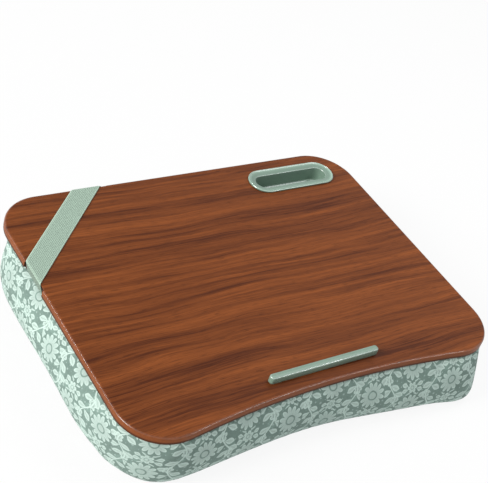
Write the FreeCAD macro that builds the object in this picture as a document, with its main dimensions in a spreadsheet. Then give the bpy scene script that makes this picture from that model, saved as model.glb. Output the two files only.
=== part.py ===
"""Lap tray: a wood-look board on a stuffed cushion, with a device ledge, a phone slot and an elastic strap.

Millimetres. X runs along the board's width, Y from the front edge to the back edge, Z up.
The origin is on the floor under the middle of the board.
"""
import FreeCAD
import Part
import Sketcher
import math
import os
from types import SimpleNamespace

SIZES = {
    # board
    "board_width": 434,
    "board_depth": 328,
    "board_thickness": 8,
    "foil_thickness": 0.5,
    "back_corner_radius": 47,
    "front_corner_radius": 47,
    "front_dip": 13,
    "dip_share": 0.93,
    "top_edge_radius": 2.5,
    # cushion
    "cushion_height": 62,
    "cushion_bulge": 10,
    "belly_level": 24,
    "base_inset": 9,
    "neck_inset": 3,
    "fabric_thickness": 1.2,
    "seam_level": 5,
    "hem_width": 18,
    # device ledge
    "ledge_length": 129,
    "ledge_depth": 7,
    "ledge_rise": 8,
    "ledge_setback": 13.5,
    "ledge_end_radius": 3,
    "ledge_edge_radius": 2.2,
    # ledge screws
    "screw_spacing": 50,
    "screw_diameter": 3,
    "screw_bite": 5,
    "screw_head_diameter": 6.4,
    "screw_head_height": 2,
    "screw_clearance": 0.3,
    # phone slot
    "slot_length": 96,
    "slot_width": 20,
    "slot_depth": 20,
    "slot_from_right": 25,
    "slot_from_back": 16.5,
    "slot_wall": 1.6,
    "flange_width": 9,
    "flange_thickness": 2.2,
    "flange_edge_radius": 1.4,
    "slot_mouth_radius": 0.7,
    "lug_length": 12,
    "lug_height": 2,
    "lug_reach": 1,
    "insert_clearance": 0.2,
    "pocket_clearance": 1.5,
    # elastic strap
    "strap_width": 24,
    "strap_thickness": 1.5,
    "strap_from_corner": 107,
    "strap_tail": 46,
    "strap_clearance": 0.4,
    "notch_depth": 1.9,
    # staples
    "staple_wire": 0.7,
    "staple_crown": 10,
    "staple_leg": 5,
    "staple_inset": 6.5,
    "staple_pitch": 44,
    "strap_staple_gap": 14,
}

# Where the cushion's sections lie, as parts of the rise to the belly and of the rise from belly to neck
LOWER_STEPS = (0.0, 0.1, 0.35, 1.0)
UPPER_STEPS = (0.5, 0.85, 1.0)
QUARTER = math.pi / 2
NEAR = 1e-3

doc = FreeCAD.newDocument("lap_tray")


class Size:
    """A length that knows its number and the sheet expression that it comes from."""

    def __init__(self, number, text):
        self.number = number
        self.text = text

    def joined(self, other, sign, number):
        text = other.text if isinstance(other, Size) else str(other)
        return Size(number, f"({self.text} {sign} {text})")

    def __add__(self, other):
        return self.joined(other, "+", self.number + plain(other))

    def __sub__(self, other):
        return self.joined(other, "-", self.number - plain(other))

    def __mul__(self, other):
        return self.joined(other, "*", self.number * plain(other))

    def __truediv__(self, other):
        return self.joined(other, "/", self.number / plain(other))

    def __neg__(self):
        return self * -1


def plain(length):
    """The bare number of a length."""
    return length.number if isinstance(length, Size) else length


def make_sheet():
    """Put the driving dimensions in a sheet and give each one back as a named length."""
    sheet = doc.addObject("Spreadsheet::Sheet", "sizes")
    for row, (name, number) in enumerate(SIZES.items(), 1):
        sheet.set(f"A{row}", name)
        sheet.set(f"B{row}", str(number))
        sheet.setAlias(f"B{row}", name)
    doc.recompute()
    return SimpleNamespace(**{name: Size(float(sheet.get(name)), f"sizes.{name}") for name in SIZES})


s = make_sheet()

# Shared levels and places
half_width = s.board_width / 2
half_depth = s.board_depth / 2
floor = s.cushion_height * 0
board_bottom = s.cushion_height
board_top = board_bottom + s.board_thickness
front_low = half_width - s.front_corner_radius
front_arcs = (front_low * front_low + s.front_dip * s.front_dip) / (s.front_dip * 2)
front_middle = s.front_dip - half_depth
ledge_front = front_middle + s.ledge_setback
ledge_middle = ledge_front + s.ledge_depth / 2
slot_right = half_width - s.slot_from_right - s.flange_width
slot_x = slot_right - s.slot_length / 2
slot_y = half_depth - s.slot_from_back - s.flange_width - s.slot_width / 2
slot_floor = board_top + s.flange_thickness - s.slot_depth


def bind(thing, **lengths):
    """Tie properties of an object to sheet expressions."""
    for name, length in lengths.items():
        thing.setExpression(name, length.text)


def place(thing, x, y, z):
    """Tie an object's position to sheet expressions."""
    for axis, length in zip("xyz", (x, y, z)):
        thing.setExpression(f"Placement.Base.{axis}", length.text)


def new_body(label):
    body = doc.addObject("PartDesign::Body", label)
    body.Label = label
    return body


def new_sketch(body, name, level):
    """A sketch parallel to the floor at a level."""
    sketch = body.newObject("Sketcher::SketchObject", name)
    floor_plane = next(item for item in body.Origin.OriginFeatures if item.Role == "XY_Plane")
    sketch.AttachmentSupport = [(floor_plane, "")]
    sketch.MapMode = "FlatFace"
    sketch.setExpression("AttachmentOffset.Base.z", level.text)
    return sketch


def add_line(sketch, x0, y0, x1, y1):
    ends = [FreeCAD.Vector(plain(x), plain(y), 0) for x, y in ((x0, y0), (x1, y1))]
    return sketch.addGeometry(Part.LineSegment(*ends), False)


def add_arc(sketch, x, y, radius, start, end):
    circle = Part.Circle(FreeCAD.Vector(plain(x), plain(y), 0), FreeCAD.Vector(0, 0, 1), plain(radius))
    return sketch.addGeometry(Part.ArcOfCircle(circle, start, end), False)


def size_constraint(sketch, kind, places, length):
    """Add a dimension to a sketch and tie it to the sheet."""
    index = sketch.addConstraint(Sketcher.Constraint(kind, *places, length.number))
    sketch.setExpression(f"Constraints[{index}]", length.text)


def join_smoothly(sketch, joints):
    for joint in joints:
        sketch.addConstraint(Sketcher.Constraint("Tangent", *joint))


def outline(body, name, inset, level):
    """The board's outline, inset by a length: round corners and a front edge that dips in at the middle."""
    sketch = new_sketch(body, name, level)
    side = half_width - inset
    back_radius = s.back_corner_radius - inset
    corner_radius = s.front_corner_radius - inset
    dip_radius = front_arcs * s.dip_share + inset
    shoulder_radius = front_arcs - front_arcs * s.dip_share - inset
    back_x = half_width - s.back_corner_radius
    back_y = half_depth - s.back_corner_radius
    corner_y = s.front_corner_radius - half_depth
    shoulder_y = front_arcs - front_arcs * s.dip_share - half_depth
    dip_y = front_middle - front_arcs * s.dip_share
    turn = math.atan2(plain(front_arcs - s.front_dip), plain(front_low))
    right = add_line(sketch, side, corner_y, side, back_y)
    back_right = add_arc(sketch, back_x, back_y, back_radius, 0, QUARTER)
    back = add_line(sketch, back_x, half_depth - inset, -back_x, half_depth - inset)
    back_left = add_arc(sketch, -back_x, back_y, back_radius, QUARTER, 2 * QUARTER)
    left = add_line(sketch, -side, back_y, -side, corner_y)
    corner_left = add_arc(sketch, -front_low, corner_y, corner_radius, 2 * QUARTER, 3 * QUARTER)
    shoulder_left = add_arc(sketch, -front_low, shoulder_y, shoulder_radius, 3 * QUARTER, 4 * QUARTER - turn)
    dip = add_arc(sketch, 0, dip_y, dip_radius, turn, 2 * QUARTER - turn)
    shoulder_right = add_arc(sketch, front_low, shoulder_y, shoulder_radius, 2 * QUARTER + turn, 3 * QUARTER)
    corner_right = add_arc(sketch, front_low, corner_y, corner_radius, 3 * QUARTER, 4 * QUARTER)
    join_smoothly(sketch, (
        (right, 2, back_right, 1), (back_right, 2, back, 1), (back, 2, back_left, 1), (back_left, 2, left, 1),
        (left, 2, corner_left, 1), (corner_left, 2, shoulder_left, 1), (shoulder_left, 2, dip, 2),
        (dip, 1, shoulder_right, 1), (shoulder_right, 2, corner_right, 1), (corner_right, 2, right, 1)))
    sketch.addConstraint(Sketcher.Constraint("Horizontal", back))
    sketch.addConstraint(Sketcher.Constraint("Vertical", right))
    sketch.addConstraint(Sketcher.Constraint("Vertical", left))
    sketch.addConstraint(Sketcher.Constraint("Vertical", corner_right, 3, corner_right, 1))
    sketch.addConstraint(Sketcher.Constraint("Vertical", corner_left, 3, corner_left, 2))
    size_constraint(sketch, "DistanceX", (-1, 1, right, 1), side)
    size_constraint(sketch, "DistanceX", (left, 1, -1, 1), side)
    size_constraint(sketch, "DistanceY", (-1, 1, back, 1), half_depth - inset)
    for corner in (corner_right, corner_left):
        size_constraint(sketch, "DistanceY", (corner, 3, -1, 1), -corner_y)
        size_constraint(sketch, "Radius", (corner,), corner_radius)
    for corner in (back_right, back_left):
        size_constraint(sketch, "Radius", (corner,), back_radius)
    for shoulder in (shoulder_right, shoulder_left):
        size_constraint(sketch, "Radius", (shoulder,), shoulder_radius)
    size_constraint(sketch, "Radius", (dip,), dip_radius)
    return sketch


def slot_outline(body, name, grow, level):
    """The phone slot's outline with round ends, grown by a length."""
    sketch = new_sketch(body, name, level)
    radius = s.slot_width / 2 + grow
    right_x = slot_right - s.slot_width / 2
    left_x = slot_right - s.slot_length + s.slot_width / 2
    far = add_line(sketch, right_x, slot_y + radius, left_x, slot_y + radius)
    left_end = add_arc(sketch, left_x, slot_y, radius, QUARTER, 3 * QUARTER)
    near = add_line(sketch, left_x, slot_y - radius, right_x, slot_y - radius)
    right_end = add_arc(sketch, right_x, slot_y, radius, 3 * QUARTER, 5 * QUARTER)
    join_smoothly(sketch, (
        (far, 2, left_end, 1), (left_end, 2, near, 1), (near, 2, right_end, 1), (right_end, 2, far, 1)))
    sketch.addConstraint(Sketcher.Constraint("Horizontal", far))
    for end, x in ((left_end, left_x), (right_end, right_x)):
        size_constraint(sketch, "Radius", (end,), radius)
        size_constraint(sketch, "DistanceX", (-1, 1, end, 3), x)
    size_constraint(sketch, "DistanceY", (-1, 1, left_end, 3), slot_y)
    return sketch


def rectangle(body, name, x0, y0, x1, y1, level):
    """A rectangle between two corners."""
    sketch = new_sketch(body, name, level)
    corners = ((x0, y0), (x1, y0), (x1, y1), (x0, y1))
    sides = [add_line(sketch, *corners[i], *corners[(i + 1) % 4]) for i in range(4)]
    for i, side in enumerate(sides):
        sketch.addConstraint(Sketcher.Constraint("Coincident", side, 2, sides[(i + 1) % 4], 1))
        sketch.addConstraint(Sketcher.Constraint("Vertical" if i % 2 else "Horizontal", side))
    for corner, (x, y) in ((sides[0], corners[0]), (sides[2], corners[2])):
        size_constraint(sketch, "DistanceX", (-1, 1, corner, 1), x)
        size_constraint(sketch, "DistanceY", (-1, 1, corner, 1), y)
    return sketch


def pad(body, name, sketch, height):
    feature = body.newObject("PartDesign::Pad", name)
    feature.Profile = sketch
    bind(feature, Length=height)
    body.Tip = feature
    doc.recompute()
    return feature


def pocket(body, name, sketch, depth):
    """Cut down from a sketch, and make sure that the cut took material away."""
    before = body.Shape.Volume
    feature = body.newObject("PartDesign::Pocket", name)
    feature.Profile = sketch
    bind(feature, Length=depth)
    body.Tip = feature
    doc.recompute()
    if body.Shape.Volume >= before:
        raise RuntimeError(f"{name} cuts nothing")
    return feature


def edge_names(shape, test):
    """Names of the edges that pass a test on their lowest and highest point."""
    return [f"Edge{i}" for i, edge in enumerate(shape.Edges, 1) if test(edge.BoundBox)]


def at_level(level):
    return lambda box: abs(box.ZMin - plain(level)) < NEAR and abs(box.ZMax - plain(level)) < NEAR


def upright(box):
    return box.XLength < NEAR and box.YLength < NEAR


def on_slot(box):
    """True for an edge of the slot itself, and false for the flange's outer edge."""
    across = abs(box.Center.y - plain(slot_y)) < plain(s.slot_width) / 2 + NEAR
    along = abs(box.Center.x - plain(slot_x)) + box.XLength / 2 < plain(s.slot_length) / 2 + NEAR
    return across and along


def round_edges(body, name, test, radius):
    """Round the edges of a body that pass a test."""
    base = body.Tip
    feature = body.newObject("PartDesign::Fillet", name)
    feature.Base = (base, edge_names(base.Shape, test))
    bind(feature, Radius=radius)
    body.Tip = feature
    doc.recompute()
    return feature


def block(label, x0, y0, z0, x1, y1, z1):
    """A box between two corners."""
    box = doc.addObject("Part::Box", label)
    bind(box, Length=x1 - x0, Width=y1 - y0, Height=z1 - z0)
    place(box, x0, y0, z0)
    return box


def post(label, radius, x, y, z0, z1):
    """An upright cylinder."""
    cylinder = doc.addObject("Part::Cylinder", label)
    bind(cylinder, Radius=radius, Height=z1 - z0)
    place(cylinder, x, y, z0)
    return cylinder


def combined(kind, label, pieces):
    """A union or an intersection of several pieces."""
    feature = doc.addObject(kind, label)
    feature.Shapes = pieces
    return feature


def cut(label, base, tool):
    feature = doc.addObject("Part::Cut", label)
    feature.Base = base
    feature.Tool = tool
    feature.Label = label
    return feature


def group(label, shapes):
    """Identical loose solids that share one node."""
    feature = doc.addObject("Part::Feature", label)
    feature.Shape = Part.Compound(shapes)
    feature.Label = label
    return feature


def board_form(label, inset, height):
    """A board blank with a rounded top edge, inset all round and on top."""
    body = new_body(label)
    pad(body, label + "_pad", outline(body, label + "_outline", inset, board_bottom), height)
    round_edges(body, label + "_top_edge", at_level(board_bottom + height), s.top_edge_radius - inset)
    return body


def cushion_form(label, skin):
    """The stuffed form: flat base, sides that swell to a belly and draw in to a neck under the board."""
    body = new_body(label)
    low = floor + skin
    high = board_bottom - skin
    belly = s.belly_level
    below = s.cushion_bulge + s.base_inset
    above = s.cushion_bulge + s.neck_inset
    sections = []
    for step in LOWER_STEPS:
        swell = math.sqrt(1 - (1 - step) ** 2)
        sections.append((low + (belly - low) * step, s.base_inset - below * swell))
    for step in UPPER_STEPS:
        swell = math.sqrt(1 - step ** 2)
        sections.append((belly + (high - belly) * step, s.neck_inset - above * swell))
    sketches = [outline(body, f"{label}_section_{i}", inset + skin, level)
                for i, (level, inset) in enumerate(sections)]
    loft = body.newObject("PartDesign::AdditiveLoft", label + "_loft")
    loft.Profile = sketches[0]
    loft.Sections = [(sketch, [""]) for sketch in sketches[1:]]
    body.Tip = loft
    doc.recompute()
    return body


def strap_centre():
    """The fold points of the strap's middle line: y less x is the same all along its top run."""
    middle = s.strap_thickness / 2
    offset = half_depth - s.strap_from_corner + half_width
    top = board_top + middle
    bottom = board_bottom + s.staple_wire + middle
    left_x = s.notch_depth - half_width - middle
    back_y = half_depth - s.notch_depth + middle
    return SimpleNamespace(middle=middle, top=top, bottom=bottom, drop=top - bottom,
                           left_x=left_x, left_y=left_x + offset, back_y=back_y, back_x=back_y - offset)


fold = strap_centre()
strap_span = s.strap_width * math.sqrt(2)
strap_run = (half_width + half_depth) * 2


def band(label, width, thick, length, axis, angle, at):
    """A flat band centred on a point of the strap's middle line, turned about an axis."""
    box = doc.addObject("Part::Box", label)
    bind(box, Length=length, Width=width, Height=thick)
    turn = FreeCAD.Rotation(FreeCAD.Vector(*axis), angle)
    if axis[0]:
        turn = turn.multiply(FreeCAD.Rotation(FreeCAD.Vector(0, 0, 1), FreeCAD.Vector(1, 0, 0)))
    if axis[1]:
        turn = turn.multiply(FreeCAD.Rotation(FreeCAD.Vector(0, 0, 1), FreeCAD.Vector(0, 1, 0)))
    box.Placement.Rotation = turn
    lead = (length / 2, width / 2, thick / 2)
    directions = [turn.multVec(FreeCAD.Vector(*unit)) for unit in ((1, 0, 0), (0, 1, 0), (0, 0, 1))]
    corner = []
    for i, point in enumerate(at):
        for length_part, direction in zip(lead, directions):
            point = point - length_part * round(direction[i], 9)
        corner.append(point)
    place(box, *corner)
    return box


def make_strap():
    """Elastic strap: a run across the corner, a turn down each notched edge and two tails under the board."""
    t = s.strap_thickness
    m = fold.middle
    low_y = fold.left_y - fold.drop
    low_x = fold.back_x + fold.drop
    top_run = band("strap_top_band", s.strap_width, t, strap_run, (0, 0, 1), 45,
                   (fold.left_x, fold.left_y, fold.top))
    top_room = block("strap_top_room", fold.left_x - m, -half_depth, fold.top - m,
                     half_width, fold.back_y + m, fold.top + m)
    left_turn = band("strap_left_band", s.strap_width, t, strap_run, (1, 0, 0), 45,
                     (fold.left_x, fold.left_y, fold.top))
    left_room = block("strap_left_room", fold.left_x - m, -half_depth, fold.bottom - m,
                      fold.left_x + m, half_depth, fold.top + m)
    back_turn = band("strap_back_band", s.strap_width, t, strap_run, (0, 1, 0), 45,
                     (fold.back_x, fold.back_y, fold.top))
    back_room = block("strap_back_room", -half_width, fold.back_y - m, fold.bottom - m,
                      half_width, fold.back_y + m, fold.top + m)
    tail_length = s.strap_tail * 2
    left_tail = band("strap_left_tail_band", s.strap_width, t, tail_length, (0, 0, 1), -45,
                     (fold.left_x, low_y, fold.bottom))
    left_tail_room = block("strap_left_tail_room", fold.left_x - m, -half_depth, fold.bottom - m,
                           half_width, half_depth, fold.bottom + m)
    back_tail = band("strap_back_tail_band", s.strap_width, t, tail_length, (0, 0, 1), -45,
                     (low_x, fold.back_y, fold.bottom))
    back_tail_room = block("strap_back_tail_room", -half_width, -half_depth, fold.bottom - m,
                           half_width, fold.back_y + m, fold.bottom + m)
    pieces = []
    for name, run, room in (("top", top_run, top_room), ("left", left_turn, left_room),
                            ("back", back_turn, back_room), ("left_tail", left_tail, left_tail_room),
                            ("back_tail", back_tail, back_tail_room)):
        pieces.append(combined("Part::MultiCommon", f"strap_{name}_piece", [run, room]))
    return combined("Part::MultiFuse", "strap_whole", pieces)


def strap_cutters():
    """Notches in the board's edge and recesses under it that take the strap."""
    c = s.strap_clearance
    half_span = strap_span / 2 + c
    left = block("strap_left_notch", -half_width * 2, fold.left_y - fold.drop - half_span, floor,
                 s.notch_depth - half_width, fold.left_y + half_span, board_top * 2)
    back = block("strap_back_notch", fold.back_x - half_span, half_depth - s.notch_depth, floor,
                 fold.back_x + fold.drop + half_span, half_depth * 2, board_top * 2)
    deep = (s.staple_wire + s.strap_thickness + c) * 2
    tails = []
    for name, x, y in (("left", fold.left_x, fold.left_y - fold.drop),
                       ("back", fold.back_x + fold.drop, fold.back_y)):
        tails.append(band(f"strap_{name}_recess", s.strap_width + c * 2, deep, (s.strap_tail + c) * 2,
                          (0, 0, 1), -45, (x, y, board_bottom)))
    return [left, back], tails


def staple(crown, leg, wire):
    """One staple about its crown's middle, with the legs up."""
    parts = [Part.makeBox(crown, wire, wire, FreeCAD.Vector(-crown / 2, -wire / 2, 0))]
    for x in (-crown / 2, crown / 2 - wire):
        parts.append(Part.makeBox(wire, wire, leg + wire, FreeCAD.Vector(x, -wire / 2, 0)))
    return parts[0].multiFuse(parts[1:]).removeSplitter()


def put(shape, x, y, z, angle):
    """A copy of a shape, turned about Z and moved."""
    copy = shape.copy()
    copy.Placement = FreeCAD.Placement(FreeCAD.Vector(x, y, z),
                                       FreeCAD.Rotation(FreeCAD.Vector(0, 0, 1), angle))
    return copy


def make_strap_staples():
    """Two staples across each tail of the strap."""
    one = staple(plain(s.staple_crown), plain(s.staple_leg), plain(s.staple_wire))
    step = plain(s.strap_staple_gap) / math.sqrt(2)
    shapes = []
    for x, y in ((fold.left_x, fold.left_y - fold.drop), (fold.back_x + fold.drop, fold.back_y)):
        for count in (1, 2):
            shapes.append(put(one, plain(x) + count * step, plain(y) - count * step, plain(board_bottom), 45))
    return group("strap_staples", shapes)


def spread(start, end, pitch):
    """Evenly spaced values from start to end, no closer than a pitch."""
    steps = max(2, int((end - start) / pitch))
    return [start + (end - start) * i / steps for i in range(steps + 1)]


def hem_places():
    """Places and directions of the staples along the hem, a little inside the board's outline."""
    inset = plain(s.staple_inset)
    pitch = plain(s.staple_pitch)
    side = plain(half_width) - inset
    side_front = plain(s.front_corner_radius - half_depth)
    side_back = plain(half_depth - s.back_corner_radius)
    back_end = plain(half_width - s.back_corner_radius)
    places = []
    for y in spread(side_front, side_back, pitch):
        places += [(side, y, 90), (-side, y, 90)]
    for x in spread(-back_end, back_end, pitch):
        places.append((x, plain(half_depth) - inset, 0))
    radius = plain(front_arcs * s.dip_share) + inset
    centre = plain(front_middle) - plain(front_arcs * s.dip_share)
    reach = math.asin(plain(front_low) / plain(front_arcs))
    for turn in spread(-reach, reach, pitch / radius):
        places.append((radius * math.sin(turn), centre + radius * math.cos(turn), -math.degrees(turn)))
    return places


def clear_of_strap(x, y):
    """True where a staple misses the strap's tails."""
    room = plain(s.strap_width + s.staple_crown) / 2 + plain(s.strap_clearance)
    tails = ((fold.left_x, fold.left_y - fold.drop), (fold.back_x + fold.drop, fold.back_y))
    return all(abs(x - plain(at_x) + y - plain(at_y)) / math.sqrt(2) > room for at_x, at_y in tails)


def clear_of_screws(x, y):
    """True where a staple misses the ledge screws."""
    room = plain(s.staple_crown + s.screw_head_diameter) / 2 + plain(s.screw_clearance)
    return all(math.hypot(x - plain(at_x), y - plain(ledge_middle)) > room for at_x in screw_places())


def make_cover_staples():
    """Staples that hold the cover's hem up against the board."""
    one = staple(plain(s.staple_crown), plain(s.staple_leg), plain(s.staple_wire))
    level = plain(board_bottom - s.fabric_thickness)
    shapes = [put(one, x, y, level, angle) for x, y, angle in hem_places()
              if clear_of_strap(x, y) and clear_of_screws(x, y)]
    return group("cover_staples", shapes)


def screw_places():
    return (-s.screw_spacing, s.screw_spacing * 0, s.screw_spacing)


def make_screws():
    """Three screws up through the board into the ledge, heads sunk under the board."""
    shank = plain(s.screw_diameter) / 2
    head = plain(s.screw_head_diameter) / 2
    height = plain(s.screw_head_height)
    length = plain(s.board_thickness + s.screw_bite)
    rim = height / 2
    profile = [(0, 0), (head, 0), (head, rim), (head - rim, height), (shank, height),
               (shank, length - shank), (0, length), (0, 0)]
    wire = Part.makePolygon([FreeCAD.Vector(x, 0, z) for x, z in profile])
    axis = FreeCAD.Vector(0, 0, 1)
    one = Part.Face(wire).revolve(FreeCAD.Vector(0, 0, 0), axis, 360)
    return group("ledge_screws", [put(one, plain(x), plain(ledge_middle), plain(board_bottom), 0)
                                  for x in screw_places()])


def screw_cutters():
    """Clearance holes for the shanks and sinks for the heads."""
    tools = []
    gap = s.screw_clearance
    for i, x in enumerate(screw_places()):
        hole = post(f"screw_hole_{i}", s.screw_diameter / 2 + gap, x, ledge_middle, floor, board_top * 2)
        sink = post(f"screw_sink_{i}", s.screw_head_diameter / 2 + gap, x, ledge_middle,
                    floor, board_bottom + s.screw_head_height)
        tools += [hole, sink]
    return tools


def make_ledge():
    """Device ledge: a bar with round ends and a soft top edge, bored from below for its screws."""
    body = new_body("device_ledge")
    base = rectangle(body, "ledge_base", -s.ledge_length / 2, ledge_front,
                     s.ledge_length / 2, ledge_front + s.ledge_depth, board_top)
    pad(body, "ledge_bar", base, s.ledge_rise)
    round_edges(body, "ledge_ends", upright, s.ledge_end_radius)
    round_edges(body, "ledge_top_edge", at_level(board_top + s.ledge_rise), s.ledge_edge_radius)
    tip = board_top + s.screw_bite
    bores = [post(f"ledge_bore_{i}", s.screw_diameter / 2, x, ledge_middle, board_top, tip)
             for i, x in enumerate(screw_places())]
    body.Label = "ledge_bar_form"
    return cut("device_ledge", body, combined("Part::MultiFuse", "ledge_bores", bores))


def make_phone_holder():
    """Phone slot insert: a flange on the board, a deep cup below it and snap lugs under the board."""
    body = new_body("phone_cup")
    top = board_top + s.flange_thickness
    flange = slot_outline(body, "flange_outline", s.flange_width, board_top)
    pad(body, "phone_flange", flange, s.flange_thickness)
    round_edges(body, "flange_edge", at_level(top), s.flange_edge_radius)
    bottom = slot_floor - s.slot_wall
    pad(body, "phone_walls", slot_outline(body, "wall_outline", s.slot_wall, bottom), board_top - bottom)
    pocket(body, "phone_slot", slot_outline(body, "slot_mouth", floor, top), s.slot_depth)
    round_edges(body, "slot_mouth_edge", lambda box: at_level(top)(box) and on_slot(box), s.slot_mouth_radius)
    lugs = []
    reach = s.slot_width / 2 + s.slot_wall + s.lug_reach
    for i, x in enumerate((slot_x - s.slot_length / 4, slot_x + s.slot_length / 4)):
        for side, y0, y1 in (("front", slot_y - reach, slot_y - s.slot_width / 2 - s.slot_wall / 2),
                             ("back", slot_y + s.slot_width / 2 + s.slot_wall / 2, slot_y + reach)):
            lugs.append(block(f"phone_lug_{side}_{i}", x - s.lug_length / 2, y0, board_bottom - s.lug_height,
                              x + s.lug_length / 2, y1, board_bottom))
    return combined("Part::MultiFuse", "phone_holder", [body] + lugs)


def slot_cutter(label, grow, low, high):
    """An upright prism of the slot's outline, grown by a length."""
    body = new_body(label)
    pad(body, label + "_pad", slot_outline(body, label + "_outline", grow, low), high - low)
    return body


def make_all():
    """Build every piece and give them back by name."""
    phone_hole = slot_cutter("phone_hole", s.slot_wall + s.insert_clearance, floor, board_top * 2)
    pocket_room = s.slot_wall + s.lug_reach + s.pocket_clearance
    pocket_floor = slot_floor - s.slot_wall - s.pocket_clearance
    phone_pocket = slot_cutter("phone_pocket", pocket_room, pocket_floor, board_top)
    notches, recesses = strap_cutters()
    screws = make_screws()
    strap_staples = make_strap_staples()
    cover_staples = make_cover_staples()

    outer = board_form("board_outer", floor, s.board_thickness)
    core = board_form("board_inner", s.foil_thickness, s.board_thickness - s.foil_thickness)
    tools = [phone_hole] + notches + recesses + screw_cutters()
    openings = combined("Part::MultiFuse", "board_openings", tools)
    core_open = cut("core_open", core, openings)
    foil_solid = cut("foil_solid", outer, core)
    fixings = combined("Part::MultiFuse", "board_fixings", [strap_staples, cover_staples])

    form = cushion_form("cushion_outer", floor)
    inside = cushion_form("cushion_inner", s.fabric_thickness)
    skin = cut("cushion_skin", form, inside)
    lower_room = block("seam_room", -s.board_width, -s.board_depth, -s.seam_level,
                       s.board_width, s.board_depth, s.seam_level)
    liner = new_body("liner")
    hem_inside = s.neck_inset + s.hem_width
    pad(liner, "liner_pad", outline(liner, "liner_outline", hem_inside, board_bottom - s.fabric_thickness),
        s.fabric_thickness)
    not_boxing = combined("Part::MultiFuse", "not_boxing", [lower_room, liner])
    strap = make_strap()

    return {
        "board_core": cut("board_core", core_open, fixings),
        "walnut_foil": cut("walnut_foil", foil_solid, openings),
        "device_ledge": make_ledge(),
        "ledge_screws": screws,
        "phone_holder": make_phone_holder(),
        "elastic_strap": cut("elastic_strap", strap, strap_staples),
        "strap_staples": strap_staples,
        "cover_boxing": cut("cover_boxing", cut("boxing_open", skin, not_boxing), cover_staples),
        "cover_bottom": combined("Part::MultiCommon", "cover_bottom", [skin, lower_room]),
        "cover_top": cut("cover_top", liner, phone_pocket),
        "cushion_fill": cut("cushion_fill", inside, phone_pocket),
        "cover_staples": cover_staples,
    }


def check_all(pieces):
    """Stop if any object failed, or a piece is empty or not sound."""
    for thing in doc.Objects:
        if {"Invalid", "Error"} & set(thing.State):
            raise RuntimeError(f"{thing.Label} failed: {thing.State}")
    for name, piece in pieces.items():
        shape = piece.Shape
        if shape.isNull() or not shape.isValid() or not shape.Solids:
            raise RuntimeError(f"{name} is not a sound solid")


pieces = make_all()
doc.recompute()
check_all(pieces)
os.makedirs("parts", exist_ok=True)
for name, piece in pieces.items():
    piece.Shape.exportStep(f"parts/{name}.step")
    print(f"{name}: {len(piece.Shape.Solids)} solids, {piece.Shape.Volume:.0f} mm3")
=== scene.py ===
"""Lap tray with cushion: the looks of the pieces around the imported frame. Metres, in the frame of the part."""
import math
from functools import reduce
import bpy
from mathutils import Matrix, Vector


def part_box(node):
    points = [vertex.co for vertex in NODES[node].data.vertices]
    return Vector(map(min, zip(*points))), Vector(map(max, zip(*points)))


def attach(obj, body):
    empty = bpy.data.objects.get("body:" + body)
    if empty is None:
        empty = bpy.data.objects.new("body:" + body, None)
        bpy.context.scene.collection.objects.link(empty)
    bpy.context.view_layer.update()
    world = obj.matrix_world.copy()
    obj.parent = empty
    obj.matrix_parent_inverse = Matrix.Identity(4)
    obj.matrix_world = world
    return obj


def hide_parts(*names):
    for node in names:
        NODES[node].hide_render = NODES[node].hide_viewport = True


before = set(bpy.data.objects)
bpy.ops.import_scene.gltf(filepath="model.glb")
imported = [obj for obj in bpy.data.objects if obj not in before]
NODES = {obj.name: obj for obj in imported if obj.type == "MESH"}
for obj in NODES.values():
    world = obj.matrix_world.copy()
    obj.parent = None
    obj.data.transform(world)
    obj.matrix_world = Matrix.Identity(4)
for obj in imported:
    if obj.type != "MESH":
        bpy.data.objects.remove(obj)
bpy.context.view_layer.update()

from types import SimpleNamespace

import bpy
import numpy as np
from bpy.props import FloatProperty, FloatVectorProperty, IntProperty, PointerProperty
from mathutils import Matrix, Vector

bl_info = {
    "name": "Lap tray",
    "version": (1, 0, 0),
    "blender": (4, 5, 0),
    "location": "View3D > Sidebar > Lap tray",
    "description": "Builds the cushion, the strap and the finishes of a lap tray around its frame",
    "category": "Object",
}

BODY = "root"
BOARD_LOW, BOARD_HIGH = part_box("walnut_foil")
QUARTER = math.pi / 2
FULL_TURN = 2 * math.pi
DIAGONAL = math.sqrt(2)
PRINT_MAP = "cloth"
# Height of the phone slot's rim band: a painted highlight above it, painted shade below it
RIM_HIGHLIGHT_HEIGHT = 0.0009
# Width of the outline of petals and of buds, and how much darker they are inside it
PETAL_LINE, BUD_LINE, INSIDE_DARKER = 0.0011, 0.0010, 0.24
# Settings of the cloth that the cover settles with, and its steps
CLOTH_RULES = {
    "quality": 6, "mass": 0.3, "tension_stiffness": 15, "compression_stiffness": 15, "shear_stiffness": 5,
    "bending_stiffness": 2.0, "shrink_min": -0.002, "use_pressure": True, "uniform_pressure_force": 1.5,
    "vertex_group_mass": "held",
}
CLOTH_STEPS = 20
# Name, place, aim, size in metres, power in watts and tint of each lamp
LAMPS = (
    ("key_light", (-3.60, 0.35, 2.10), (0.0, 0.0, 0.05), 2.0, 168.0, (1.0, 0.985, 0.96)),
    ("fill_light", (0.60, 0.0, 1.10), (0.10, 0.0, 0.07), 0.7, 4.0, (0.97, 0.985, 1.0)),
    ("front_light", (1.10, -1.31, 1.15), (0.0, -0.1, 0.07), 0.12, 3.0, (1.0, 1.0, 1.0)),
    ("edge_light", (-2.13, 1.42, 0.83), (-0.2, 0.0, 0.07), 0.12, 7.0, (1.0, 1.0, 1.0)),
)


def length(name, description, default):
    """A size in metres."""
    return FloatProperty(name=name, description=description, default=default, unit="LENGTH",
                         subtype="DISTANCE", precision=4)


def colour(name, description, default):
    return FloatVectorProperty(name=name, description=description, default=default, size=3, min=0.0, max=1.0,
                               subtype="COLOR")


def angle(name, description, degrees):
    return FloatProperty(name=name, description=description, default=math.radians(degrees), subtype="ANGLE",
                         unit="ROTATION")


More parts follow.
